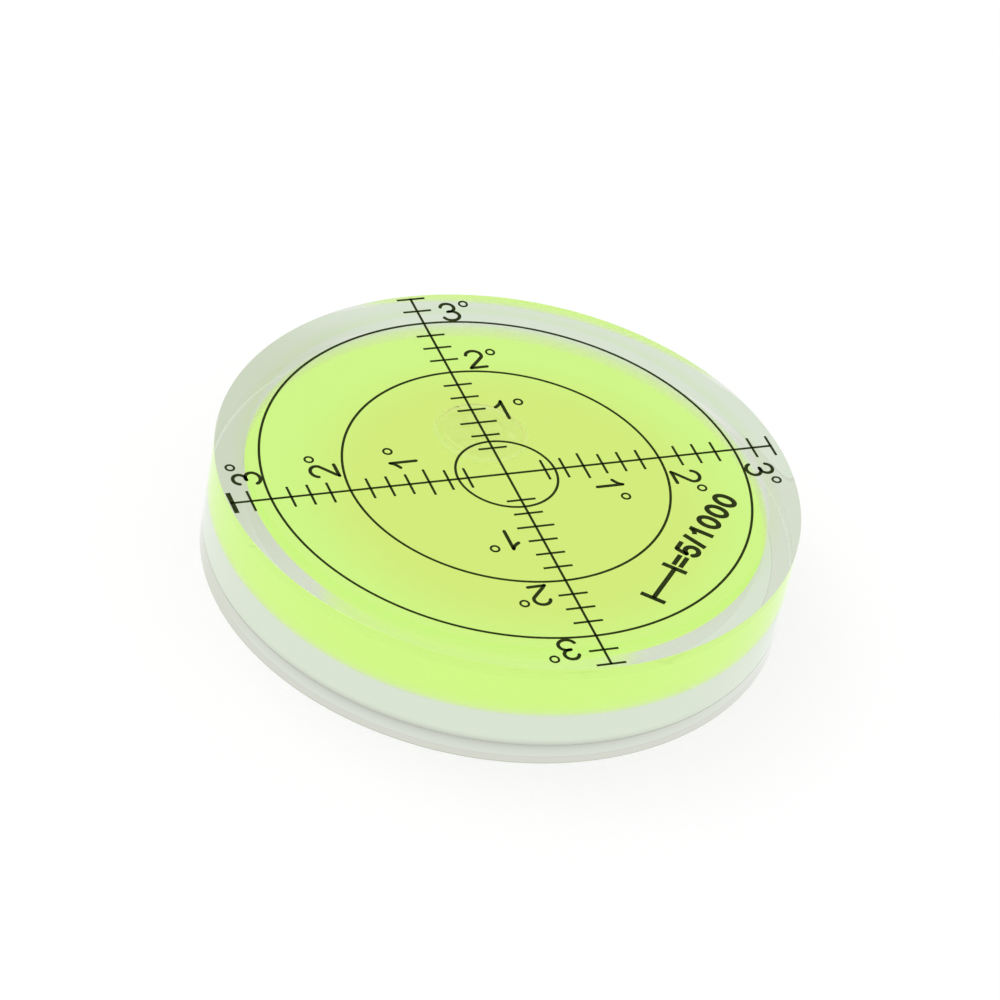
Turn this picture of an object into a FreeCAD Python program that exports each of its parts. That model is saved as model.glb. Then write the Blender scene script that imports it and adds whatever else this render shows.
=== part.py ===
import FreeCAD, Part
import math
import os

# Bullseye level: a round acrylic vial, filled with green liquid, that shows tilt in every direction.
# Millimetres. +Z is up, the origin is the middle of the underside, and the four arms of the
# printed scale run along X and Y.

# Outer form
BODY_RADIUS = 30.0
BODY_HEIGHT = 12.2
TOP_EDGE_BREAK = 0.15
FOOT_EDGE_BREAK = 0.15

# Closing plate: a flange as wide as the body, with a plug that stands up into the bore
FLANGE_THICKNESS = 2.45
PLUG_HEIGHT = 2.15
PLUG_LEAD_IN = 0.3

# Cavity
SIDE_WALL = 3.2
CEILING_EDGE_DEPTH = 2.8

# Scale: the pitch of the marks, and the slope that one pitch stands for
DIVISION = 2.1
SLOPE_PER_DIVISION = 5 / 1000
RING_DIVISIONS = (2.5, 8, 12)
TICK_DIVISIONS = (2, 3, 4, 5, 6, 7, 9, 10, 11, 13, 14)
LONG_TICK_DIVISION = 4
TICK_REACH = 1.55
LONG_TICK_REACH = 2.0
LINE_WIDTH = 0.22
INK_THICKNESS = 0.05
ARM_COUNT = 4
PRINT_OFFSET_X = -0.3

# Bubble: a flat round pocket of air under the ceiling, off the middle by the level's own tilt
BUBBLE_RADIUS = 5.0
BUBBLE_DEPTH = 2.5
BUBBLE_OFFSET = 8.6
BUBBLE_DIRECTION = 88.0
CEILING_CONTACT = 0.12

# Sizes that follow
cavity_radius = BODY_RADIUS - SIDE_WALL
ceiling_edge = BODY_HEIGHT - CEILING_EDGE_DEPTH
floor_level = FLANGE_THICKNESS + PLUG_HEIGHT
ceiling_radius = DIVISION / SLOPE_PER_DIVISION
ceiling_centre = ceiling_edge - math.sqrt(ceiling_radius ** 2 - cavity_radius ** 2)
ceiling_top = ceiling_centre + ceiling_radius

X_AXIS = FreeCAD.Vector(1, 0, 0)
Y_AXIS = FreeCAD.Vector(0, 1, 0)
Z_AXIS = FreeCAD.Vector(0, 0, 1)
CENTRE = FreeCAD.Vector(0, 0, 0)


def point(radius, height):
    """A point of a section, at a radius from the axis and a height."""
    return FreeCAD.Vector(radius, 0, height)


def turned(edges):
    """The solid that a closed section makes when it is turned once about the axis."""
    face = Part.Face(Part.Wire(edges))
    return face.revolve(CENTRE, Z_AXIS, 360)


def line(start, end):
    """A straight edge between two points."""
    return Part.LineSegment(start, end).toShape()


def polyline(points):
    """Straight edges through a list of points."""
    return [line(start, end) for start, end in zip(points, points[1:])]


def cavity():
    """The space inside, from the flange up: a bore under a dome that is part of one large sphere.

    The sphere's poles lie to the sides, so the dome is a plain patch of it with no pole or seam.
    """
    foot = point(0, FLANGE_THICKNESS)
    bore = Part.makeCylinder(cavity_radius, BODY_HEIGHT - FLANGE_THICKNESS, foot)
    dome = Part.makeSphere(ceiling_radius, point(0, ceiling_centre), X_AXIS)
    dome.rotate(point(0, ceiling_centre), X_AXIS, 180)
    return bore.common(dome)


def vial_body():
    """The clear cup, turned upside down: top wall with the domed ceiling, side wall, open bore."""
    outside = polyline([
        point(0, FLANGE_THICKNESS),
        point(0, BODY_HEIGHT),
        point(BODY_RADIUS - TOP_EDGE_BREAK, BODY_HEIGHT),
        point(BODY_RADIUS, BODY_HEIGHT - TOP_EDGE_BREAK),
        point(BODY_RADIUS, FLANGE_THICKNESS),
        point(0, FLANGE_THICKNESS),
    ])
    return turned(outside).cut(cavity())


def base_plate():
    """The clear plate that closes the vial, with its plug's lead-in chamfer in the bore."""
    section = polyline([
        point(0, 0),
        point(BODY_RADIUS - FOOT_EDGE_BREAK, 0),
        point(BODY_RADIUS, FOOT_EDGE_BREAK),
        point(BODY_RADIUS, FLANGE_THICKNESS),
        point(cavity_radius, FLANGE_THICKNESS),
        point(cavity_radius, floor_level - PLUG_LEAD_IN),
        point(cavity_radius - PLUG_LEAD_IN, floor_level),
        point(0, floor_level),
        point(0, 0),
    ])
    return turned(section)


def bubble():
    """The air bubble: a round cake with a fully rounded edge, its top flat against the ceiling."""
    half = BUBBLE_DEPTH / 2
    flat = BUBBLE_RADIUS - half
    top = ceiling_top + CEILING_CONTACT
    rounded_edge = Part.Arc(
        point(flat, top), point(BUBBLE_RADIUS, top - half), point(flat, top - BUBBLE_DEPTH)
    ).toShape()
    top_and_axis = polyline([
        point(flat, top - BUBBLE_DEPTH),
        point(0, top - BUBBLE_DEPTH),
        point(0, top),
        point(flat, top),
    ])
    cake = turned([rounded_edge] + top_and_axis)
    sphere_middle = point(0, ceiling_centre)
    slope_angle = math.degrees(math.asin(BUBBLE_OFFSET / ceiling_radius))
    cake.rotate(sphere_middle, Y_AXIS, slope_angle)
    cake.rotate(CENTRE, Z_AXIS, BUBBLE_DIRECTION)
    return cake


def liquid():
    """The liquid: it fills the cavity down to the plug and its chamfer, round the bubble."""
    return cavity().cut(base_plate()).cut(bubble())


def ink_ring(radius):
    """One printed ring: a thin band of ink on the top face."""
    outer = Part.makeCylinder(radius + LINE_WIDTH / 2, INK_THICKNESS)
    inner = Part.makeCylinder(radius - LINE_WIDTH / 2, INK_THICKNESS)
    return outer.cut(inner)


def ink_bar(length, width):
    """One printed stroke, centred on the origin and lying along X."""
    return Part.makeBox(length, width, INK_THICKNESS, FreeCAD.Vector(-length / 2, -width / 2, 0))


def ink_arm():
    """The arm along +X with its cross strokes, from the middle to past the last mark."""
    arm_length = max(TICK_DIVISIONS) * DIVISION + LINE_WIDTH / 2
    strokes = []
    arm = ink_bar(arm_length, LINE_WIDTH)
    arm.translate(FreeCAD.Vector(arm_length / 2, 0, 0))
    strokes.append(arm)
    for count in TICK_DIVISIONS:
        reach = LONG_TICK_REACH if count == LONG_TICK_DIVISION else TICK_REACH
        tick = ink_bar(LINE_WIDTH, 2 * reach)
        tick.translate(FreeCAD.Vector(count * DIVISION, 0, 0))
        strokes.append(tick)
    return strokes


def dial_print():
    """The printed scale in one layer of ink: three rings, and four arms with their strokes."""
    marks = [ink_ring(count * DIVISION) for count in RING_DIVISIONS]
    for quarter in range(ARM_COUNT):
        for stroke in ink_arm():
            stroke.rotate(CENTRE, Z_AXIS, quarter * 360 / ARM_COUNT)
            marks.append(stroke)
    layer = marks[0].multiFuse(marks[1:]).removeSplitter()
    layer.translate(FreeCAD.Vector(PRINT_OFFSET_X, 0, BODY_HEIGHT))
    return layer


pieces = {
    "vial_body": vial_body(),
    "base_plate": base_plate(),
    "liquid": liquid(),
    "dial_print": dial_print(),
}

os.makedirs("parts", exist_ok=True)
for name, shape in pieces.items():
    box = shape.BoundBox
    print(
        f"{name}: valid {shape.isValid()}, solids {len(shape.Solids)}, volume {shape.Volume:.1f} mm3, "
        f"z {box.ZMin:.2f} to {box.ZMax:.2f}"
    )
    shape.exportStep(f"parts/{name}.step")
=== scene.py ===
"""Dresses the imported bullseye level.

A clear acrylic vial and its base plate hold green liquid and an air bubble under a printed scale.
The clear pieces are turned surfaces worked out with numpy and replace the coarser solids, because
facets would show in what is seen through them.
"""

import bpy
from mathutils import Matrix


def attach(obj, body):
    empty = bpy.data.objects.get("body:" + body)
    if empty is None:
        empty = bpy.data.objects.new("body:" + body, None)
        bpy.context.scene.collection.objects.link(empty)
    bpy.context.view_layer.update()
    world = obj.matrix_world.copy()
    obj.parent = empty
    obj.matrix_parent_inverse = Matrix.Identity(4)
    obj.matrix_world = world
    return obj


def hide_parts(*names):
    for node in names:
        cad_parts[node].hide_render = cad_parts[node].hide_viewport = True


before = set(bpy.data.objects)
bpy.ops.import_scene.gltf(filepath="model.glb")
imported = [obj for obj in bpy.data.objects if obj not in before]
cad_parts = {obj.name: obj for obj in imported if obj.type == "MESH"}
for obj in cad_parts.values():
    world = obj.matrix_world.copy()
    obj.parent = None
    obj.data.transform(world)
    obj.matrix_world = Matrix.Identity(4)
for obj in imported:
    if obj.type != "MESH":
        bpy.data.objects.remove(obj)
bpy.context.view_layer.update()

import logging
import math
from collections.abc import Callable
from dataclasses import dataclass
from enum import Enum

import bpy
import numpy as np
from bpy.types import ID, Material, Node, NodeSocket, NodeTree, Object
from mathutils import Matrix, Vector

log = logging.getLogger("bullseye_level")

Rgb = tuple[float, float, float]
Pair = tuple[float, float]
Shell = tuple[np.ndarray, np.ndarray, np.ndarray, np.ndarray]
MM = 0.001
BODY = "root"

WHITE = (1.0, 1.0, 1.0)
BLACK = (0.0, 0.0, 0.0)
CLOUDED = (0.985, 0.985, 0.985)

LEVEL_RADIUS = 30.0 * MM
LEVEL_HEIGHT = 12.2 * MM
BORE_RADIUS = 26.8 * MM
PLUG_TOP = 4.6 * MM
SEAM_HEIGHT = 2.45 * MM
SEAM_ROUND = 0.015 * MM
DIVISION = 2.1 * MM
SLOPE_PER_DIVISION = 5 / 1000
COINCIDENT_GAP = 0.004 * MM
ON_AXIS = 1e-9
LEAST_NORMAL = 1e-15

ACRYLIC_INDEX = 1.49
LIQUID_INDEX = 1.36
BONDED_INDEX = 1.0


class Slot(Enum):
    """The record's material slots."""

    BODY = "clear_acrylic"
    BASE = "clear_acrylic_base"
    LIQUID = "green_liquid"
    INK = "black_ink"


class Grain(Enum):
    """How a clear face was finished, which sets the marks left in it."""

    WIPED = "polished flat and wiped"
    TURNED = "turned on a lathe and flame polished"
    MOULDED = "inside, as it left the mould"


def operator(operation: str, swapped: bool = False) -> Callable[..., "Number"]:
    """A method of Number for one operation of the Math node.

    Args:
        operation: the operation.
        swapped: whether self is its second value.

    Returns:
        The method, which takes the other value.
    """

    def apply(self: "Number", other: "Number | float") -> "Number":
        """The result of the operation on self and other."""
        return self.maths(operation, *((other, self) if swapped else (self, other)))

    return apply


class Number:
    """A number worked out by nodes: its operators add Math nodes."""

    __add__ = operator("ADD")
    __radd__ = operator("ADD", swapped=True)
    __sub__ = operator("SUBTRACT")
    __rsub__ = operator("SUBTRACT", swapped=True)
    __mul__ = operator("MULTIPLY")
    __rmul__ = operator("MULTIPLY", swapped=True)
    __truediv__ = operator("DIVIDE")
    __pow__ = operator("POWER")
    at_most = operator("MINIMUM")
    at_least = operator("MAXIMUM")

    def __init__(self, board: "Board", socket: NodeSocket) -> None:
        """Wraps a socket of a board."""
        self.board = board
        self.socket = socket

    def maths(self, operation: str, *values: "Number | float") -> "Number":
        """The result of a Math node, with the values in its sockets in their order."""
        made = self.board.node("Math", {"operation": operation}, dict(enumerate(values)))
        return Number(self.board, made.outputs[0])

    def size(self) -> "Number":
        """Self without its sign."""
        return self.maths("ABSOLUTE", self)

    def ramp(self, start: float, end: float) -> "Number":
        """0 up to start, 1 from end, and a smooth step between them."""
        share = ((self - start) / (end - start)).at_least(0.0).at_most(1.0)
        return share * share * (3.0 - 2.0 * share)


class Board:
    """A node tree and the means to fill it."""

    def __init__(self, tree: NodeTree) -> None:
        """Empties the tree and keeps it."""
        tree.nodes.clear()
        self.tree = tree

    def node(
        self, kind: str, settings: dict[str, object] | None = None, sockets: dict | None = None
    ) -> Node:
        """Adds a node of any kind.

        Args:
            kind: the node's type, without ShaderNode before it.
            settings: its properties, which are set first.
            sockets: what goes into its inputs, by name or number: a value, a colour of three
                channels, a socket, or a node whose first output is meant.

        Returns:
            The node.
        """
        made = self.tree.nodes.new("ShaderNode" + kind)
        for name, value in (settings or {}).items():
            setattr(made, name, value)
        for key, value in (sockets or {}).items():
            socket = made.inputs[key]
            source = value.socket if isinstance(value, Number) else value
            if isinstance(source, Node):
                source = source.outputs[0]
            if isinstance(source, NodeSocket):
                self.tree.links.new(source, socket)
            elif socket.type == "RGBA":
                socket.default_value = (*source, 1.0)
            else:
                socket.default_value = source
        return made

    def output(self, surface: Node, volume: Node | None = None) -> None:
        """Joins the material's shaders to its output."""
        shown = {"Surface": surface, "Volume": volume} if volume else {"Surface": surface}
        self.node("OutputMaterial", None, shown)

    def object_point(self) -> NodeSocket:
        """The surface point in the object's own coordinates, in metres."""
        return self.node("TexCoord").outputs["Object"]

    def noise(self, scale: float, detail: float = 2.0, point: object = None) -> Number:
        """Smooth noise from 0 to 1.

        Args:
            scale: waves in a metre.
            detail: how many finer layers are added.
            point: where it is read; the object's own coordinates if left out.

        Returns:
            The noise.
        """
        sockets = {"Vector": point or self.object_point(), "Scale": scale, "Detail": detail}
        return Number(self, self.node("TexNoise", None, sockets).outputs["Fac"])

    def stretched(self, size: Rgb, turn: float = 0.0) -> NodeSocket:
        """The surface point with its axes scaled and turned about Z, for streaks."""
        sockets = {"Vector": self.object_point(), "Rotation": (0.0, 0.0, turn), "Scale": size}
        return self.node("Mapping", None, sockets).outputs[0]

    def axes(self) -> tuple[Number, Number, Number]:
        """The surface point's X, Y and Z."""
        made = self.node("SeparateXYZ", None, {0: self.object_point()})
        return tuple(Number(self, socket) for socket in made.outputs)

    def radius(self, centre: Pair = (0.0, 0.0)) -> Number:
        """How far the surface point lies from an upright line, the level's axis if left out."""
        x, y, _ = self.axes()
        across, along = x - centre[0], y - centre[1]
        return (across * across + along * along) ** 0.5

    def facing(self, way: Pair) -> Number:
        """The cosine of the angle, seen from above, between the surface point and a direction."""
        x, y, _ = self.axes()
        return (x * way[0] + y * way[1]) / self.radius()

    def blend(self, share: Number | float, low: object, high: object) -> NodeSocket:
        """A colour between two colours."""
        return self.node("Mix", {"data_type": "RGBA"}, {0: share, 6: low, 7: high}).outputs[2]

    def bump(self, height: Number, strength: float, distance: float) -> NodeSocket:
        """A normal bent by a height from 0 to 1 that stands for a depth in metres."""
        sockets = {"Height": height, "Strength": strength, "Distance": distance}
        return self.node("Bump", None, sockets).outputs[0]

    def ray(self, *names: str) -> Number:
        """1 for a ray of any of the named kinds, and 0 for others."""
        path = self.node("LightPath")
        first, *rest = [Number(self, path.outputs[name]) for name in names]
        for kind in rest:
            first = first.at_least(kind)
        return first


def new_material(name: str) -> tuple[Material, Board]:
    """An empty node material and its board."""
    material = bpy.data.materials.new(name)
    material.use_nodes = True
    return material, Board(material.node_tree)


@dataclass(frozen=True)
class Acrylic:
    """Polished clear acrylic, for faces that meet one kind of neighbour."""

    name: str
    index: float
    tint: Rgb
    grain: Grain
    roughness: float = 0.002
    haze: float = 0.01
    relief: float = 0.0003 * MM
    marked_share: float = 0.98

    def marks(self, board: Board) -> Number:
        """How marked the face is: wiping hairs, lathe rings or mould flow.

        Args:
            board: the node tree of the face's material.

        Returns:
            0 where it is clean, up to 1 where it is marked most.
        """
        soft = board.noise(90.0, 3.0)
        if self.grain is Grain.WIPED:
            one_way = board.noise(1.0, 2.0, board.stretched((3600.0, 45.0, 60.0), 0.5))
            other_way = board.noise(1.0, 2.0, board.stretched((50.0, 4200.0, 60.0), -0.25))
            return (one_way * other_way * 1.3 + soft * 0.35).at_most(1.0)
        if self.grain is Grain.TURNED:
            rings = board.noise(1.0, 3.0, board.stretched((70.0, 70.0, 9000.0)))
            return (rings * 0.75 + soft * 0.4).at_most(1.0)
        return (board.noise(420.0, 2.0) * 0.4 + soft * 0.6).at_most(1.0)

    def colour(self, board: Board, marks: Number) -> NodeSocket:
        """The tint, a little deeper where the face is marked.

        Args:
            board: the node tree of the face's material.
            marks: how marked the face is.

        Returns:
            The colour that light takes on in passing.
        """
        deeper = tuple(channel * self.marked_share for channel in self.tint)
        return board.blend(marks, self.tint, deeper)

    def material(self) -> Material:
        """Makes the material.

        Returns:
            Glass of the face's own index, a little hazed and ridged by its marks.
        """
        material, board = new_material(self.name)
        marks = self.marks(board)
        shader = board.node(
            "BsdfPrincipled",
            None,
            {
                "Base Color": self.colour(board, marks),
                "Transmission Weight": 1.0,
                "IOR": self.index,
                "Roughness": (marks ** 3.0) * self.haze + self.roughness,
                "Normal": board.bump(marks, 1.0, self.relief),
                **self.more(board),
            },
        )
        board.output(shader)
        return material

    def more(self, board: Board) -> dict[str, object]:
        """What else the shader takes: nothing on plain acrylic."""
        return {}


@dataclass(frozen=True)
class BubbleSkin(Acrylic):
    """The air's own surface, with a painted highlight: a pale glowing line where it turns down from the
    ceiling.
    """

    middle: Pair = (0.3 * MM, 8.595 * MM)
    line_start: float = 4.7 * MM
    line_end: float = 4.9 * MM
    softness: float = 0.06 * MM
    upper_half: float = 8.9 * MM
    painted_highlight_glow: Rgb = (0.03, 0.05, 0.16)

    def more(self, board: Board) -> dict[str, object]:
        """The painted highlight: a glowing ring on the upper half of the edge, as if it caught light
        from all round.
        """
        _, _, z = board.axes()
        radius = board.radius(self.middle)
        entered = radius.ramp(self.line_start - self.softness, self.line_start)
        left = radius.ramp(self.line_end, self.line_end + self.softness)
        on_line = entered * (1.0 - left) * z.ramp(self.upper_half, self.upper_half + self.softness)
        return {
            # Painted highlight: the ring gives off light of its own.
            "Emission Color": board.blend(on_line, BLACK, self.painted_highlight_glow),
            "Emission Strength": 1.0,
        }


@dataclass(frozen=True)
class Ceiling(Acrylic):
    """The dome over the liquid, whose yellow cast fades towards its edge."""

    edge_tint: Rgb = (0.93, 0.96, 1.0)
    fade: Pair = (15.5 * MM, 25.0 * MM)
    middle: Pair = (0.32 * MM, -2.48 * MM)

    def colour(self, board: Board, marks: Number) -> NodeSocket:
        """The cast in the middle, and the edge's own tint past the fade."""
        share = board.radius(self.middle).ramp(*self.fade)
        return board.blend(share, self.tint, self.edge_tint)


@dataclass(frozen=True)
class TopFace(Acrylic):
    """The top, with a painted green glow just outside the bore, as if lit by the liquid."""

    painted_glow_tint: Rgb = (0.88, 1.0, 0.72)
    glow_start: float = 26.75 * MM
    glow_end: float = 28.6 * MM
    start_width: float = 0.1 * MM

    def colour(self, board: Board, marks: Number) -> NodeSocket:
        """The tint, with a painted green glow in a ring that begins over the bore's edge and fades
        outwards.
        """
        radius = board.radius()
        inside = radius.ramp(self.glow_start - self.start_width, self.glow_start)
        fading = 1.0 - radius.ramp(self.glow_start, self.glow_end)
        # Painted glow: green light from the liquid, painted into the tint.
        return board.blend(inside * fading, self.tint, self.painted_glow_tint)


@dataclass(frozen=True)
class SeamWall(Acrylic):
    """A side wall that meets the seam: painted shade beside it, most towards one side, and at its foot.
    """

    painted_seam_shade: Rgb = (0.5, 0.42, 0.5)
    fade_above: float = 0.9 * MM
    fade_below: float = 1.3 * MM
    fade_power: float = 1.8
    darkest_way: Pair = (-0.4627, -0.8865)
    least_facing: float = 0.45
    painted_foot_shade: Rgb = (0.41, 0.445, 0.365)
    foot: Pair = (0.132 * MM, 0.22 * MM)
    groove_tint: Rgb = (0.42, 0.41, 0.4)
    groove: Pair = (0.06 * MM, 0.075 * MM)

    def colour(self, board: Board, marks: Number) -> NodeSocket:
        """The tint, with painted shade near the seam where the wall faces the darkest way, and at the
        foot.
        """
        _, _, z = board.axes()
        above = 1.0 - (z - SEAM_HEIGHT) / self.fade_above
        below = 1.0 - (SEAM_HEIGHT - z) / self.fade_below
        nearness = above.at_most(below).at_least(0.0).at_most(1.0)
        towards = board.facing(self.darkest_way).ramp(self.least_facing, 1.0)
        # Painted shade: darker towards the seam, most where the wall faces the darkest way.
        wall = board.blend(nearness ** self.fade_power * towards, self.tint, self.painted_seam_shade)
        # Painted shade at the foot, where the wall meets the paper.
        footed = board.blend(1.0 - z.ramp(*self.foot), wall, self.painted_foot_shade)
        in_groove = 1.0 - (z - SEAM_HEIGHT).size().ramp(*self.groove)
        return board.blend(in_groove, footed, self.groove_tint)


@dataclass(frozen=True)
class RestingFace(Acrylic):
    """The underside, which lies on the paper and lets light straight through. Its tints are painted
    shadow, paler on one side with painted light and darker on another; its marks are fine wear.
    """

    rim_painted_shade: Rgb = (0.46, 0.53, 0.375)
    painted_light_tint: Rgb = (0.76, 0.78, 0.72)
    painted_shade_tint: Rgb = (0.38, 0.46, 0.28)
    line_tint: Rgb = (0.37, 0.42, 0.3)
    marked_share: float = 0.96
    rim_start: float = 28.1 * MM
    line: Pair = (0.028 * MM, 0.07 * MM)
    lit_way: Pair = (0.4627, 0.8865)
    lit_part: Pair = (0.6, 0.95)
    dim_way: Pair = (-0.79, 0.61)
    dim_part: Pair = (0.55, 0.95)
    dim_ring: Pair = (24.0 * MM, 27.0 * MM)

    def colour(self, board: Board, marks: Number) -> NodeSocket:
        """The field's painted shadow, and the rim's outside a darker line, with painted light on the
        rim's lit side, where the line fades, and painted shade on part of the field towards the dim
        way.
        """
        radius = board.radius()
        # Painted shadow: the field's tint stands in for the paper in the level's shadow.
        field = super().colour(board, marks)
        # Painted light: the rim is paler on its lit side.
        lit = board.facing(self.lit_way).ramp(*self.lit_part)
        rim = board.blend(lit, self.rim_painted_shade, self.painted_light_tint)
        off_line = radius - self.rim_start
        faces = board.blend(off_line.ramp(-self.line[1], self.line[1]), field, rim)
        on_line = (1.0 - off_line.size().ramp(*self.line)) * (1.0 - lit)
        lined = board.blend(on_line, faces, self.line_tint)
        # Painted shade: darker towards the dim way, over a ring of the field.
        dim = board.facing(self.dim_way).ramp(*self.dim_part) * radius.ramp(*self.dim_ring)
        return board.blend(dim, lined, self.painted_shade_tint)


@dataclass(frozen=True)
class ClearBond:
    """A face that is bonded to more of the same stuff, so light goes straight through."""

    name: str

    def material(self) -> Material:
        """Glass that doesn't bend light, with faint flow marks of the solvent."""
        material, board = new_material(self.name)
        board.output(see_through(board, 260.0))
        return material


def see_through(board: Board, cloud_scale: float) -> Node:
    """Glass that doesn't bend light, faintly clouded, with so many clouds in a metre."""
    clouds = board.blend(board.noise(cloud_scale, 3.0), WHITE, CLOUDED)
    return board.node(
        "BsdfPrincipled",
        None,
        {"Base Color": clouds, "Transmission Weight": 1.0, "IOR": BONDED_INDEX, "Roughness": 0.0},
    )


@dataclass(frozen=True)
class GreenLiquid:
    """The dyed spirit. Its dye takes blue out of the light, and a painted glow, which stands for its
    fluorescence, hides what is deep.
    """

    name: str
    dye: Rgb = (0.87, 0.95, 0.0)
    dye_strength: float = 200.0
    veil: float = 250.0
    core_veil: float = 800.0
    deep_colour: Rgb = (0.655, 0.965, 0.215)

    def skin(self) -> Material:
        """The finish of the liquid's skin, which doesn't bend light, round the plain dye."""
        material, board = new_material(self.name)
        absorbed = {"Color": self.dye, "Density": self.dye_strength}
        dye = board.node("VolumeAbsorption", None, absorbed)
        board.output(see_through(board, 140.0), dye)
        return material

    def heart(self) -> Material:
        """The finish of the body just inside the skin, which also makes good what the dye takes."""
        lost = tuple(self.dye_strength * (1.0 - share) + self.veil for share in self.dye)
        return self.glowing("_heart", self.veil, lost)

    def core(self) -> Material:
        """The finish of the denser body within the heart."""
        return self.glowing("_core", self.core_veil, (self.core_veil,) * 3)

    def glowing(self, ending: str, veil: float, lost: Rgb) -> Material:
        """Makes the finish of a body with a painted glow.

        It gives off lost times deep_colour for each metre, so that a deep body shows deep_colour.

        Args:
            ending: what is added to the liquid's name.
            veil: the grey loss for each metre.
            lost: all that is lost for each metre, in each channel.

        Returns:
            A skin that doesn't bend light round an absorbing and glowing volume.
        """
        material, board = new_material(self.name + ending)
        fog = board.node("VolumeAbsorption", None, {"Color": BLACK, "Density": veil})
        given = [loss * shown / veil for loss, shown in zip(lost, self.deep_colour)]
        # Painted glow: the volume gives off light of its own, standing for the dye's fluorescence.
        glow = board.node("Emission", None, {"Color": given, "Strength": veil})
        both = board.node("AddShader", None, {0: fog, 1: glow})
        board.output(see_through(board, 200.0), both)
        return material


@dataclass(frozen=True)
class PrintingInk:
    """Matt black ink, laid down by a screen: a little uneven in depth and gloss."""

    name: str
    colour: Rgb = (0.015996, 0.025187, 0.002428)
    thin_colour: Rgb = (0.029557, 0.042311, 0.006049)

    def material(self) -> Material:
        """Makes the material.

        Returns:
            A matt black with the screen's fine grain in its colour, gloss and relief.
        """
        material, board = new_material(self.name)
        grain = board.noise(9000.0, 2.0)
        patches = board.noise(600.0, 2.0)
        thin = ((grain * 0.5 + patches * 0.7 - 0.45) * 1.6).at_least(0.0).at_most(1.0)
        shader = board.node(
            "BsdfPrincipled",
            None,
            {
                "Base Color": board.blend(thin, self.colour, self.thin_colour),
                "Roughness": patches * 0.2 + 0.42,
                "Specular IOR Level": 0.04,
                "Normal": board.bump(grain, 0.6, 0.006 * MM),
            },
        )
        board.output(shader)
        return material


@dataclass(frozen=True)
class Run:
    """One stretch of a turned section: points (radius, height), their normals and a finish."""

    points: np.ndarray
    normals: np.ndarray
    finish: str

    def reversed(self) -> "Run":
        """The same stretch travelled the other way, with the material on its other side."""
        return Run(self.points[::-1], -self.normals[::-1], self.finish)


def outward(points: np.ndarray) -> np.ndarray:
    """The direction of travel turned a quarter left at each point of a section.

    Args:
        points: radius and height of each point, in order from the axis on top round to the
            axis below, so that left is out of the material.

    Returns:
        Unit vectors.
    """
    travel = np.gradient(points, axis=0)
    left = np.stack([-travel[:, 1], travel[:, 0]], axis=1)
    return left / np.linalg.norm(left, axis=1, keepdims=True)


def straight(start: tuple, end: tuple, finish: str, count: int = 2) -> Run:
    """A straight stretch, its points spaced evenly."""
    points = np.linspace(start, end, count)
    return Run(points, outward(points), finish)


def bend(centre: tuple, radius: float, turn: tuple, finish: str, count: int = 7) -> Run:
    """A stretch of a circle: point = centre + radius (cos a, sin a).

    Args:
        centre: the circle's centre in the section.
        radius: its radius.
        turn: the first and the last angle a, in degrees.
        finish: what its faces are made of.
        count: how many points it has, spaced evenly.

    Returns:
        The stretch, with normals along the radius on the outward side.
    """
    angle = np.radians(np.linspace(*turn, count))
    spoke = np.stack([np.cos(angle), np.sin(angle)], axis=1)
    points = np.array(centre) + radius * spoke
    side = np.sign(np.sum(spoke * outward(points), axis=1, keepdims=True))
    return Run(points, spoke * side, finish)


@dataclass
class TurnedSection:
    """A section from the axis to the axis, turned about Z: rows are its points, columns angles."""

    runs: list[Run]
    columns: int = 480

    def grid(self) -> Shell:
        """Works out the turned surface.

        Vertex (i, j) = (radius_i cos t_j, radius_i sin t_j, height_i) with t_j = 2 pi j over the
        number of columns. A row on the axis is one vertex. The face between rows i and i + 1
        and columns j and j + 1 takes the normals of its own stretch, so flat stays flat.

        Returns:
            Vertices, faces as rows of four vertex numbers (-1 for the one that a triangle
            lacks), a normal for each of their corners, and a finish for each face.
        """
        start = self.runs[0].points[:1]
        section = np.concatenate([start] + [run.points[1:] for run in self.runs])
        on_axis = section[:, 0] < ON_AXIS
        size = np.where(on_axis, 1, self.columns)
        first = np.cumsum(size) - size
        column = np.arange(self.columns)
        number = first[:, None] + np.where(on_axis[:, None], 0, column)
        following = np.roll(number, -1, axis=1)
        angle = 2 * np.pi * column / self.columns
        spread = turned(section[:, None], angle)
        vertices = spread[~on_axis[:, None] | (column == 0)]

        faces = np.stack([number[:-1], number[1:], following[1:], following[:-1]], axis=2)
        faces[on_axis[:-1], :, 3] = -1
        faces[on_axis[1:], :, 2] = -1
        ends = [np.stack([run.normals[:-1], run.normals[1:]], axis=1) for run in self.runs]
        tilt = np.concatenate(ends)
        around = np.stack([angle, np.roll(angle, -1)], axis=1)
        normals = turned(tilt[:, None, [0, 1, 1, 0]], around[:, [0, 0, 1, 1]])
        finishes = np.repeat(
            [run.finish for run in self.runs],
            [(len(run.points) - 1) * self.columns for run in self.runs],
        )
        return vertices, faces.reshape(-1, 4), normals.reshape(-1, 4, 3), finishes


def turned(pair: np.ndarray, angle: np.ndarray) -> np.ndarray:
    """Turns pairs (out, up) of a section about Z: (out cos t, out sin t, up), as whole arrays."""
    out, up = pair[..., 0], pair[..., 1]
    return np.stack(np.broadcast_arrays(out * np.cos(angle), out * np.sin(angle), up), axis=-1)


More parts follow.
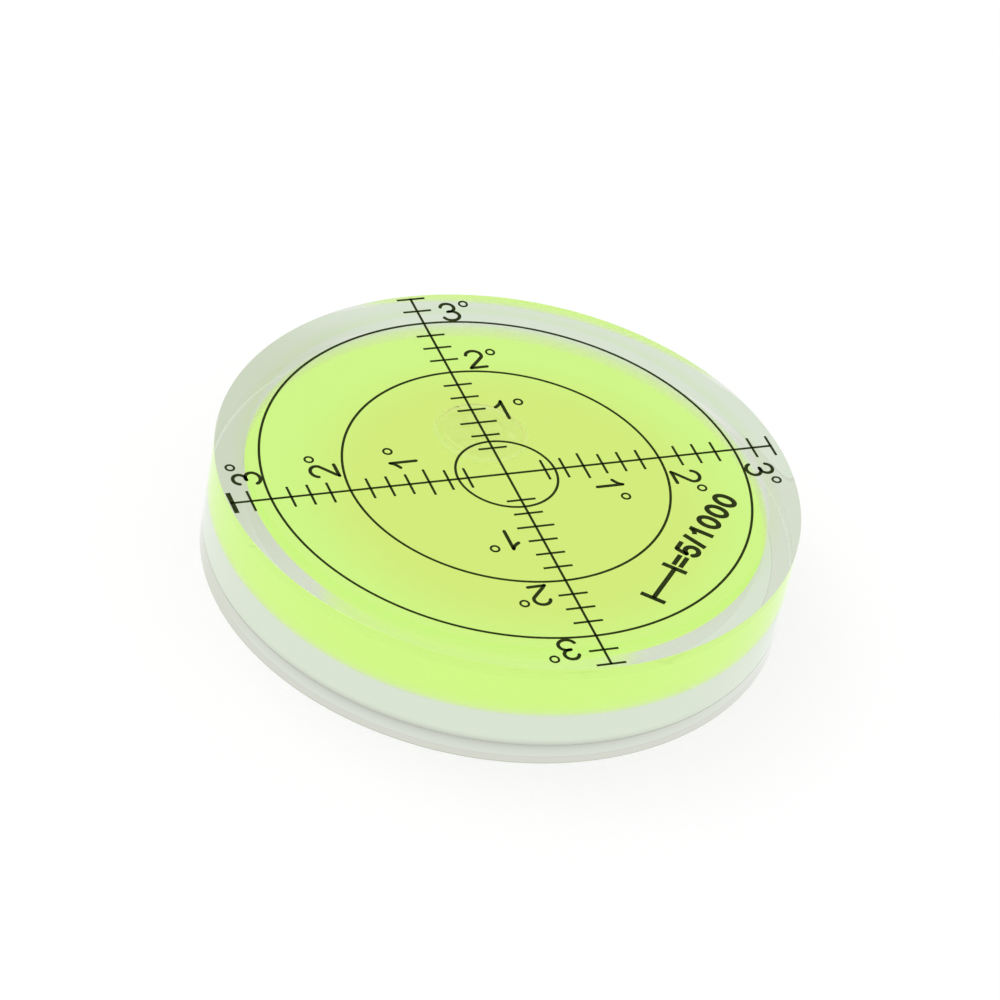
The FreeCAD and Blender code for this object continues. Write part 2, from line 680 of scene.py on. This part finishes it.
def add_piece(
    name: str, shells: list[Shell], materials: dict[str, Material], slot: Slot, *nodes: str
) -> None:
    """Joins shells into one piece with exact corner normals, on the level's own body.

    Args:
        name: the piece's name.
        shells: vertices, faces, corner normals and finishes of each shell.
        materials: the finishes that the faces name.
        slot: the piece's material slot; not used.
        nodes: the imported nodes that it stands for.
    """
    vertices, faces, normals, finishes = (np.concatenate(arrays) for arrays in zip(*shells))
    before = np.cumsum([0] + [len(shell[0]) for shell in shells[:-1]])
    shift = np.repeat(before, [len(shell[1]) for shell in shells])
    used = faces >= 0
    mesh = bpy.data.meshes.new(name)
    mesh.vertices.add(len(vertices))
    mesh.vertices.foreach_set("co", vertices.astype(np.float32).ravel())
    mesh.loops.add(int(used.sum()))
    mesh.loops.foreach_set("vertex_index", (faces + shift[:, None])[used].astype(np.int32))
    mesh.polygons.add(len(faces))
    starts = np.concatenate([[0], np.cumsum(used.sum(axis=1))[:-1]])
    mesh.polygons.foreach_set("loop_start", starts.astype(np.int32))
    places = np.zeros(len(faces), np.int32)
    for number, (finish, material) in enumerate(materials.items()):
        mesh.materials.append(material)
        places[finishes == finish] = number
    mesh.polygons.foreach_set("material_index", places)
    mesh.polygons.foreach_set("use_smooth", np.ones(len(faces), bool))
    mesh.update(calc_edges=True)
    mesh.normals_split_custom_set(normals[used])
    piece = stand(name, mesh)
    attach(piece, BODY)
    if nodes:
        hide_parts(*nodes)
    mesh.calc_loop_triangles()
    log.info("%s: %d triangles", name, len(mesh.loop_triangles))


def stand(name: str, data: ID) -> Object:
    """Puts a mesh, a lamp or a camera into the scene as an object."""
    made = bpy.data.objects.new(name, data)
    bpy.context.scene.collection.objects.link(made)
    return made


@dataclass(frozen=True)
class Dome:
    """The ceiling of the cavity: part of a sphere that sets how far the bubble runs."""

    edge_radius: float = BORE_RADIUS
    edge_height: float = 9.4 * MM
    radius: float = DIVISION / SLOPE_PER_DIVISION
    corner_round: float = 0.12 * MM

    @property
    def centre_height(self) -> float:
        """Height of the sphere's centre, far below the level."""
        return self.edge_height - math.sqrt(self.radius**2 - self.edge_radius**2)

    @property
    def corner(self) -> Pair:
        """Where the round between the dome and the bore has its centre, in the section."""
        across = self.edge_radius - self.corner_round
        reach = self.radius - self.corner_round
        return across, self.centre_height + math.sqrt(reach**2 - across**2)

    def roof(self, finish: str, reach: float, sink: float = 0.0) -> Run:
        """The section of the dome on its own.

        Args:
            finish: what its faces are made of.
            reach: the radius where it ends.
            sink: how far it lies inside the cavity.

        Returns:
            A stretch from the axis outwards.
        """
        edge = math.degrees(math.acos(reach / (self.radius - sink)))
        roof = bend((0.0, self.centre_height), self.radius - sink, (90.0, edge), finish, 25)
        roof.points[0, 0] = 0.0
        return roof

    def runs(self, finish: str, corner_finish: str, sink: float = 0.0) -> list[Run]:
        """The section of the dome and its corner, from the axis out and down to the bore.

        Args:
            finish: what the dome's faces are made of.
            corner_finish: what the corner's faces are made of.
            sink: how far the surface lies inside the cavity.

        Returns:
            A stretch of the sphere's circle and one of the corner's.
        """
        across, level = self.corner
        edge = math.atan2(level - self.centre_height, across)
        roof = self.roof(finish, (self.radius - sink) * math.cos(edge), sink)
        turn = (math.degrees(edge), 0.0)
        return [roof, bend((across, level), self.corner_round - sink, turn, corner_finish, 11)]


@dataclass
class VialBody:
    """The clear cup, turned upside down over the liquid."""

    dome: Dome
    edge_round: float = 0.08 * MM

    def section(self) -> list[Run]:
        """The cup's section, from the axis on top, down the wall, and in to the dome."""
        rim = LEVEL_RADIUS - self.edge_round
        shoulder = LEVEL_HEIGHT - self.edge_round
        edge = LEVEL_RADIUS - SEAM_ROUND
        lip = SEAM_HEIGHT + SEAM_ROUND
        mouth = (BORE_RADIUS, SEAM_HEIGHT)
        roof, corner = self.dome.runs("ceiling", "bore")
        return [
            straight((0.0, LEVEL_HEIGHT), (rim, LEVEL_HEIGHT), "top", 4),
            bend((rim, shoulder), self.edge_round, (90.0, 0.0), "wall"),
            straight((LEVEL_RADIUS, shoulder), (LEVEL_RADIUS, lip), "wall", 4),
            bend((edge, lip), SEAM_ROUND, (0.0, -90.0), "wall"),
            straight((edge, SEAM_HEIGHT), mouth, "bond"),
            straight(mouth, (BORE_RADIUS, PLUG_TOP), "bond"),
            straight((BORE_RADIUS, PLUG_TOP), tuple(corner.points[-1]), "bore", 3),
            corner.reversed(),
            roof.reversed(),
        ]

    def build(self, finishes: dict[str, Material]) -> None:
        """Makes the cup, with the finishes that its stretches name."""
        shell = TurnedSection(self.section()).grid()
        add_piece("body_shell", [shell], finishes, Slot.BODY, "vial_body")


@dataclass
class BasePlate:
    """The closing plate: a flange as wide as the cup, and the plug in its bore."""

    foot_round: float = 0.15 * MM

    def section(self) -> list[Run]:
        """The plate's section, from the axis on the plug, down the flange, and in underneath."""
        plug = BORE_RADIUS - COINCIDENT_GAP
        seam = SEAM_HEIGHT - COINCIDENT_GAP
        foot = LEVEL_RADIUS - self.foot_round
        edge = LEVEL_RADIUS - SEAM_ROUND
        return [
            straight((0.0, PLUG_TOP), (plug, PLUG_TOP), "wetted", 4),
            straight((plug, PLUG_TOP), (plug, seam), "bond"),
            straight((plug, seam), (edge, seam), "bond"),
            bend((edge, seam - SEAM_ROUND), SEAM_ROUND, (90.0, 0.0), "wall"),
            straight((LEVEL_RADIUS, seam - SEAM_ROUND), (LEVEL_RADIUS, self.foot_round), "wall", 3),
            bend((foot, self.foot_round), self.foot_round, (0.0, -90.0), "wall"),
            straight((foot, 0.0), (0.0, 0.0), "underside", 4),
        ]

    def build(self, finishes: dict[str, Material]) -> None:
        """Makes the plate, with the finishes that its stretches name."""
        shell = TurnedSection(self.section()).grid()
        add_piece("base_shell", [shell], finishes, Slot.BASE, "base_plate")


@dataclass
class Bubble:
    """The air bubble: a flat round pocket with a rounded edge that lies against the dome."""

    dome: Dome
    radius: float = 5.0 * MM
    depth: float = 2.5 * MM
    film: float = 0.05 * MM
    offset: float = 8.6 * MM
    direction: float = 88.0
    columns: int = 160

    def section(self, finish: str, shrink: float = 0.0) -> list[Run]:
        """The pocket's section, seen from the liquid, so that its outside is the air inside it.

        Args:
            finish: what its faces are made of.
            shrink: how far the surface lies inside the pocket's edge.

        Returns:
            Stretches from the axis below, round the rim, to the axis on top.
        """
        half = self.depth / 2 - shrink
        flat = self.radius - self.depth / 2
        ceiling = self.dome.radius - self.film - shrink
        lift = math.sqrt(ceiling**2 - flat**2)
        top = self.dome.centre_height + lift
        middle = top - half
        lid = math.degrees(math.acos(flat / ceiling))
        roof = bend((0.0, self.dome.centre_height), ceiling, (lid, 90.0), finish, 6)
        roof.points[-1, 0] = 0.0
        return [
            straight((0.0, middle - half), (flat, middle - half), finish, 3),
            bend((flat, middle), half, (-90.0, 90.0), finish, 33),
            roof,
        ]

    def grid(self, finish: str, shrink: float = 0.0) -> Shell:
        """The pocket's surface, leaned out along the dome to where the bubble has run.

        The section is turned, then turned about Y through the centre of the dome's sphere by
        asin(offset / sphere radius), and then about Z to the bubble's direction.

        Args:
            finish: what its faces are made of.
            shrink: how far the surface lies inside the pocket's edge.

        Returns:
            Vertices, faces, corner normals and finishes.
        """
        upright = TurnedSection(self.section(finish, shrink), self.columns)
        vertices, faces, normals, finishes = upright.grid()
        lean = Matrix.Rotation(math.asin(self.offset / self.dome.radius), 3, "Y")
        swing = np.array(Matrix.Rotation(math.radians(self.direction), 3, "Z") @ lean)
        pivot = np.array((0.0, 0.0, self.dome.centre_height))
        return (vertices - pivot) @ swing.T + pivot, faces, normals @ swing.T, finishes


@dataclass
class LiquidFill:
    """The liquid, which fills the cavity round the bubble."""

    dome: Dome
    bubble: Bubble
    cut_back: float = 3.2 * MM

    def section(self, finish: str, inset: float) -> list[Run]:
        """The liquid's own section, a hair inside the walls that hold it.

        Args:
            finish: what its faces are made of.
            inset: how far it lies inside the walls.

        Returns:
            Stretches from the axis on top, down the bore, to the axis on the plug.
        """
        roof, corner = self.dome.runs(finish, finish, inset)
        return [roof, corner, *self.below(corner, inset)]

    def below(self, edge: Run, inset: float) -> list[Run]:
        """The liquid's side, from the end of the stretch above it, and its floor on the plug."""
        corner = (BORE_RADIUS - inset, PLUG_TOP + inset)
        side = straight(tuple(edge.points[-1]), corner, edge.finish, 3)
        return [side, straight(corner, (0.0, corner[1]), edge.finish, 4)]

    def core(self, inset: float) -> list[Run]:
        """The section of the liquid's core, cut back where the ceiling meets the bore.

        Args:
            inset: how far it lies inside the walls.

        Returns:
            Stretches in the order of the liquid's own section.
        """
        side = BORE_RADIUS - inset
        roof = self.dome.roof("core", side - self.cut_back, inset)
        shoulder = (side, roof.points[-1, 1] - self.cut_back)
        cut = straight(tuple(roof.points[-1]), shoulder, "core")
        return [roof, cut, *self.below(cut, inset)]

    def build(self, finishes: dict[str, Material]) -> None:
        """Makes the liquid in three layers, each with the bubble's hollow, and the air's own skin.

        The core is a piece of its own, because each piece counts as one body of volume.

        Args:
            finishes: materials by the names that the section's stretches use.
        """
        shells = [
            TurnedSection(self.section("skin", COINCIDENT_GAP)).grid(),
            TurnedSection(self.section("heart", 2 * COINCIDENT_GAP)).grid(),
            self.bubble.grid("heart", -COINCIDENT_GAP),
            self.bubble.grid("skin"),
            self.bubble.grid("bubble", COINCIDENT_GAP),
        ]
        add_piece("liquid_fill", shells, finishes, Slot.LIQUID, "liquid")
        core = [
            TurnedSection(self.core(3 * COINCIDENT_GAP)).grid(),
            self.bubble.grid("core", -2 * COINCIDENT_GAP),
        ]
        add_piece("liquid_core", core, finishes, Slot.LIQUID)


def arc(centre: tuple, radii: tuple, turn: tuple, count: int = 25) -> np.ndarray:
    """Points of an ellipse: centre + (rx cos a, ry sin a), a going evenly through turn, in degrees."""
    angle = np.radians(np.linspace(*turn, count))
    return np.array(centre) + np.stack([radii[0] * np.cos(angle), radii[1] * np.sin(angle)], axis=1)


def chain(*pieces: np.ndarray | tuple) -> np.ndarray:
    """Joins points and arcs into one path."""
    return np.concatenate([np.atleast_2d(np.array(piece, float)) for piece in pieces])


@dataclass(frozen=True)
class Stroke:
    """One stroke of the print, in divisions: its middle line, width and ends."""

    path: np.ndarray
    width: float
    rounded: bool = True


def bar(start: tuple, end: tuple, width: float) -> Stroke:
    """A straight stroke with square ends."""
    return Stroke(chain(start, end), width, False)


def oval(centre: tuple, radii: tuple, width: float) -> list[Stroke]:
    """A closed oval in two halves."""
    return [Stroke(arc(centre, radii, (turn, turn + 180.0)), width, False) for turn in (0.0, 180.0)]


@dataclass
class Press:
    """Turns strokes into raised ribbons of ink on the top face."""

    depth: float = 0.05 * MM
    offset_x: float = -0.3 * MM
    spacing: float = 0.02
    cap_start: float = 0.12
    cap_points: int = 9
    look: float = 0.01
    profile: tuple = ((-1.0, 0.0), (-1.0, 0.55), (-0.85, 1.0), (0.85, 1.0), (1.0, 0.55), (1.0, 0.0))

    def ribbon(self, stroke: Stroke, turn: float = 0.0) -> Shell:
        """Carries the ribbon's profile along a stroke.

        Station s of the path has the point p(s), the unit tangent t(s) and the side vector n(s),
        which is t turned a quarter left. Profile point (u, v) goes to p + n u h(s), at a height
        of v times the depth. h(s) is half the width, and over the last half width before a
        rounded end it follows a circle: h = sqrt(w^2/4 - (w/2 - s)^2).

        Args:
            stroke: the stroke, in divisions, laid out about the up arm of the scale.
            turn: how far it is turned about the middle of the print, in degrees.

        Returns:
            Vertices, faces, corner normals and finishes.
        """
        steps = np.linalg.norm(np.diff(stroke.path, axis=0), axis=1)
        run = np.concatenate([[0.0], np.cumsum(steps)])
        length, half = run[-1], stroke.width / 2
        if stroke.rounded:
            cap = half * (1 - np.cos(np.linspace(self.cap_start, np.pi / 2, self.cap_points)))
            middle = np.linspace(0.0, length, max(3, int(length / self.spacing)))
            station = np.concatenate([cap - half, middle, length + half - cap[::-1]])
            reach = np.clip(np.minimum(station, length - station) + half, 0.0, half)
            spread = np.sqrt(half**2 - (half - reach) ** 2)
        else:
            station = np.linspace(0.0, length, max(2, int(length / self.spacing)))
            spread = np.full(len(station), half)
        station, kept = np.unique(np.round(station, 6), return_index=True)
        spread = spread[kept]
        clipped = np.clip(station, 0.0, length)
        place, ahead, behind = (
            np.stack([np.interp(clipped + step, run, axis) for axis in stroke.path.T], axis=1)
            for step in (0.0, self.look, -self.look)
        )
        tangent = ahead - behind
        tangent /= np.linalg.norm(tangent, axis=1, keepdims=True)
        place = place + tangent * (station - clipped)[:, None]
        side = np.stack([-tangent[:, 1], tangent[:, 0]], axis=1)
        across, up = np.array(self.profile).T
        flat = place[:, None, :] + side[:, None, :] * (spread[:, None] * across)[:, :, None]
        angle = math.radians(turn)
        spin = np.array(((math.cos(angle), -math.sin(angle)), (math.sin(angle), math.cos(angle))))
        flat = flat @ spin.T * DIVISION + np.array((self.offset_x, 0.0))
        level = np.broadcast_to(LEVEL_HEIGHT + up * self.depth, flat.shape[:2])
        vertices = np.concatenate([flat, level[:, :, None]], axis=2)
        return self.skin(vertices)

    def skin(self, vertices: np.ndarray) -> Shell:
        """Faces round a ribbon's stations, with flat normals, and a lid at each end.

        Args:
            vertices: stations by profile points by three.

        Returns:
            Vertices, faces, corner normals and finishes.
        """
        stations, points = vertices.shape[:2]
        number = np.arange(stations * points).reshape(stations, points)
        following = np.roll(number, -1, axis=1)
        around = np.stack([number[:-1], number[1:], following[1:], following[:-1]], axis=2)
        lids = np.array(((0, 3, 2, 1), (0, 5, 4, 3)))
        faces = np.concatenate([around.reshape(-1, 4), number[0][lids[:, ::-1]], number[-1][lids]])
        flat = vertices.reshape(-1, 3)
        corners = flat[faces]
        facing = np.cross(corners[:, 2] - corners[:, 0], corners[:, 3] - corners[:, 1])
        facing /= np.maximum(np.linalg.norm(facing, axis=1, keepdims=True), LEAST_NORMAL)
        normals = np.repeat(facing[:, None], 4, axis=1)
        return flat, faces, normals, np.full(len(faces), "ink")


@dataclass
class Scale:
    """The printed scale: rings, arms with their cross strokes, figures and the slope mark."""

    press: Press
    line: float = 0.268 * MM / DIVISION
    rings: tuple = (2.5, 8.0, 12.0)
    ring_points: int = 90
    ticks: tuple = (2, 3, 4, 5, 6, 7, 9, 10, 11, 13, 14)
    long_tick: int = 4
    reach: float = 1.55 * MM / DIVISION
    long_reach: float = 2.0 * MM / DIVISION
    figure_line: float = 0.182
    degree_line: float = 0.11
    heavy_line: float = 0.24
    heavy_shift: float = 0.06
    heavy_arm: int = 1
    degree_radius: float = 0.205
    degree_across: float = 2.55
    degree_heights: tuple = (5.25, 9.27, 13.25)
    bold: float = 0.26
    thin: float = 0.2392
    mark_distance: float = 10.0
    mark_turn: float = 45.0

    def lines(self) -> list[Shell]:
        """Rings, arms and cross strokes as ribbons."""
        made = []
        for ring in self.rings:
            count = int(self.ring_points * math.sqrt(ring))
            for quarter in range(4):
                path = arc((0.0, 0.0), (ring, ring), (0.0, 90.0), count)
                made.append(self.press.ribbon(Stroke(path, self.line, False), 90.0 * quarter))
        end = max(self.ticks) + self.line / 2
        for quarter in range(4):
            strokes = []
            if quarter < 2:
                strokes.append(bar((0.0, -end), (0.0, end), self.line))
            for tick in self.ticks:
                reach = self.long_reach if tick == self.long_tick else self.reach
                strokes.append(bar((-reach, tick), (reach, tick), self.line))
            if quarter == self.heavy_arm:
                level = max(self.ticks) - self.heavy_shift
                strokes[-1] = bar((-self.reach, level), (self.reach, level), self.heavy_line)
            made += [self.press.ribbon(stroke, 90.0 * quarter) for stroke in strokes]
        return made

    def digits(self) -> list[Stroke]:
        """The figures 1, 2 and 3: a flag and a stem, a hook and a foot, and two bowls.

        Returns:
            Their strokes beside the up arm.
        """
        hook = arc((1.61, 9.13), (0.4, 0.36), (168.0, -28.0))
        upper = arc((1.62, 13.06), (0.35, 0.33), (165.0, -85.0))
        lower = arc((1.62, 12.4), (0.42, 0.36), (88.0, -163.0))
        paths = (
            chain((1.27, 5.02), (1.4, 5.1), (1.52, 5.2), (1.6, 5.3), (1.66, 5.42)),
            chain((1.66, 5.42), (1.66, 4.1)),
            chain(hook, (1.8, 8.8), (1.5, 8.52), (1.3, 8.34), (1.16, 8.17)),
            chain((1.16, 8.18), (1.99, 8.19)),
            chain(upper, (1.55, 12.735)),
            chain((1.55, 12.735), lower),
        )
        return [Stroke(path, self.figure_line) for path in paths]

    def figures(self) -> list[Shell]:
        """The figures beside each arm, each followed by a small ring."""
        strokes = self.digits()
        ring = (self.degree_radius, self.degree_radius)
        for height in self.degree_heights:
            strokes += oval((self.degree_across, height), ring, self.degree_line)
        turns = [-90.0 * quarter for quarter in range(4)]
        return [self.press.ribbon(stroke, turn) for turn in turns for stroke in strokes]

    def slope_mark(self) -> list[Shell]:
        """One division drawn as a bar between two strokes, and the slope it stands for.

        The strokes are laid out about the middle of the mark, x along it and y to the centre.
        """
        bold, thin, middle = self.bold, self.thin, 0.34
        strokes = [
            bar((-4.37, -0.28), (-4.37, 0.99), bold),
            bar((-1.74, -0.28), (-1.74, 0.99), bold),
            bar((-4.37, middle), (-1.74, middle), thin),
            bar((-1.51, 0.515), (-0.66, 0.515), thin),
            bar((-1.51, 0.155), (-0.66, 0.155), thin),
            bar((-0.32, 0.86), (0.31, 0.86), thin),
            Stroke(chain((-0.31, 0.84), (-0.4, 0.33)), thin),
            Stroke(chain((-0.38, 0.32), arc((-0.07, 0.16), (0.32, 0.33), (125.0, -150.0))), bold),
            bar((0.56, -0.28), (0.87, 0.97), bold),
            bar((1.57, 0.97), (1.57, -0.28), bold),
            Stroke(chain((1.22, 0.56), (1.4, 0.66), (1.52, 0.84)), thin, False),
        ]
        for centre in (2.485, 3.485, 4.485):
            strokes += oval((centre, middle), (0.32, 0.505), bold)
        out = np.array((0.0, -self.mark_distance))
        moved = [Stroke(stroke.path + out, stroke.width, stroke.rounded) for stroke in strokes]
        return [self.press.ribbon(stroke, self.mark_turn) for stroke in moved]

    def build(self, ink: Material) -> None:
        """Makes the three layers of ink.

        Args:
            ink: the finish of all of them.
        """
        finishes = {"ink": ink}
        add_piece("scale_lines", self.lines(), finishes, Slot.INK, "dial_print")
        add_piece("scale_figures", self.figures(), finishes, Slot.INK)
        add_piece("slope_mark", self.slope_mark(), finishes, Slot.INK)


@dataclass(frozen=True)
class Studio:
    """The floor, the air round it and the lamps."""

    floor_size: float = 6.0
    floor_drop: float = 0.02 * MM
    paper: Rgb = (0.9, 0.9, 0.9)
    sky_low: Rgb = (0.95, 0.95, 0.95)
    sky_high: Rgb = (0.8, 0.8, 0.8)
    ambient: float = 0.9
    whiteness: float = 0.8

    def floor(self) -> None:
        """A sheet of white paper under the level. It shows white, and keeps a shadow."""
        half = self.floor_size / 2
        corners = [(-half, -half), (half, -half), (half, half), (-half, half)]
        mesh = bpy.data.meshes.new("floor")
        mesh.from_pydata([(x, y, -self.floor_drop) for x, y in corners], [], [(0, 1, 2, 3)])
        material, board = new_material("white_paper")
        fibre = board.bump(board.noise(900.0, 3.0), 0.05, 0.02 * MM)
        matt = board.node("BsdfDiffuse", None, {"Color": self.paper, "Normal": fibre})
        white = board.node("Emission", None, {"Color": WHITE, "Strength": 1.0})
        seen = board.ray("Is Camera Ray") * self.whiteness
        share = seen.at_least(board.ray("Is Glossy Ray", "Is Transmission Ray"))
        board.output(board.node("MixShader", None, {0: share, 1: matt, 2: white}))
        mesh.materials.append(material)
        stand("floor", mesh)

    def sky(self) -> None:
        """Soft light from all round; what glass shows of it is paler towards the floor."""
        world = bpy.data.worlds.new("studio")
        bpy.context.scene.world = world
        world.use_nodes = True
        board = Board(world.node_tree)
        way = board.node("TexCoord").outputs["Generated"]
        up = Number(board, board.node("SeparateXYZ", None, {0: way}).outputs["Z"])
        graded = board.blend(up.at_least(0.0), self.sky_low, self.sky_high)
        light, shown, plain = (
            board.node("Background", None, {"Color": colour, "Strength": strength})
            for colour, strength in ((WHITE, self.ambient), (graded, 1.0), (WHITE, 1.0))
        )
        in_glass = board.ray("Is Glossy Ray", "Is Transmission Ray")
        clear = board.node("MixShader", None, {0: in_glass, 1: light, 2: shown})
        behind = board.ray("Is Camera Ray")
        mixed = board.node("MixShader", None, {0: behind, 1: clear, 2: plain})
        board.node("OutputWorld", None, {"Surface": mixed})

    def lamp(self, name: str, place: Rgb, size: float, power: float) -> None:
        """A large square soft lamp that faces the level.

        Args:
            name: the lamp's name.
            place: where it hangs, in metres.
            size: length of its sides.
            power: its power in watts.
        """
        data = bpy.data.lights.new(name, "AREA")
        data.shape, data.size, data.energy = "SQUARE", size, power
        made = stand(name, data)
        made.location = place
        made.rotation_euler = (-Vector(place)).to_track_quat("-Z", "Y").to_euler()

    def build(self) -> None:
        """Sets up floor, sky and lamps."""
        self.floor()
        self.sky()
        self.lamp("top_softbox", (-0.5, 0.9, 1.5), 1.2, 12.0)


@dataclass(frozen=True)
class Viewpoint:
    """The camera: what it looks at, from which side, and how it is rolled."""

    target: Rgb = (-2.464 * MM, -3.841 * MM, 12.2 * MM)
    distance: float = 482.08 * MM
    azimuth: float = -27.561
    elevation: float = 38.016
    roll: float = 11.618
    lens: float = 173.19
    sensor: float = 36.0

    def build(self) -> None:
        """Makes the camera.

        It stands at target + distance (sin a cos e, -cos a cos e, sin e) for the azimuth a and
        elevation e, looks at the target, and is then rolled about its own line of sight.
        """
        azimuth, elevation = math.radians(self.azimuth), math.radians(self.elevation)
        out = math.cos(elevation)
        back = Vector((math.sin(azimuth) * out, -math.cos(azimuth) * out, math.sin(elevation)))
        data = bpy.data.cameras.new("camera")
        data.lens, data.sensor_width = self.lens, self.sensor
        data.clip_start, data.clip_end = 0.01, 50.0
        made = stand("camera", data)
        level = (-back).to_track_quat("-Z", "Y").to_matrix().to_4x4()
        rolled = level @ Matrix.Rotation(math.radians(self.roll), 4, "Z")
        made.matrix_world = Matrix.Translation(Vector(self.target) + back * self.distance) @ rolled
        bpy.context.scene.camera = made


def render_settings() -> None:
    """Plain colours, and enough bounces for light that turns inside the vial."""
    scene = bpy.context.scene
    scene.view_settings.view_transform = "Standard"
    scene.cycles.max_bounces = 40
    scene.cycles.transmission_bounces = 40
    scene.cycles.glossy_bounces = 24
    scene.cycles.transparent_max_bounces = 24
    scene.cycles.sample_clamp_indirect = 8.0


def main() -> None:
    """Builds the level, the studio and the camera, in that order."""
    logging.basicConfig(level=logging.INFO, format="%(name)s: %(message)s")
    clear = (0.97, 0.985, 0.96)
    wetted = ACRYLIC_INDEX / LIQUID_INDEX
    body_finishes = {
        "top": TopFace("acrylic_top", ACRYLIC_INDEX, clear, Grain.WIPED).material(),
        "wall": SeamWall("acrylic_wall", ACRYLIC_INDEX, clear, Grain.TURNED).material(),
        "ceiling": Ceiling("acrylic_ceiling", wetted, (1.0, 0.79, 0.6), Grain.MOULDED).material(),
        "bore": Acrylic("acrylic_bore", wetted, WHITE, Grain.TURNED, roughness=0.12).material(),
        "bond": ClearBond("acrylic_bond").material(),
    }
    base_finishes = {
        "wetted": Acrylic("base_wetted", wetted, WHITE, Grain.MOULDED).material(),
        "bond": body_finishes["bond"],
        "wall": SeamWall("base_wall", ACRYLIC_INDEX, (0.93, 0.84, 0.95), Grain.TURNED).material(),
        # The underside's tint is painted shadow of the paper under the level, tinged green.
        "underside": RestingFace(
            "base_underside", BONDED_INDEX, (0.5, 0.62, 0.43), Grain.WIPED, 0.0, haze=0.0, relief=0.0
        ).material(),
    }
    dyed = GreenLiquid("green_liquid")
    liquid_finishes = {
        "skin": dyed.skin(),
        "heart": dyed.heart(),
        "core": dyed.core(),
        "bubble": BubbleSkin(
            "bubble_skin", LIQUID_INDEX, WHITE, Grain.MOULDED, haze=0.0, relief=0.0
        ).material(),
    }
    ink = PrintingInk("printing_ink").material()

    dome = Dome()
    VialBody(dome).build(body_finishes)
    BasePlate().build(base_finishes)
    LiquidFill(dome, Bubble(dome)).build(liquid_finishes)
    Scale(Press()).build(ink)
    Studio().build()
    Viewpoint().build()
    render_settings()


if __name__ == "__main__":
    main()
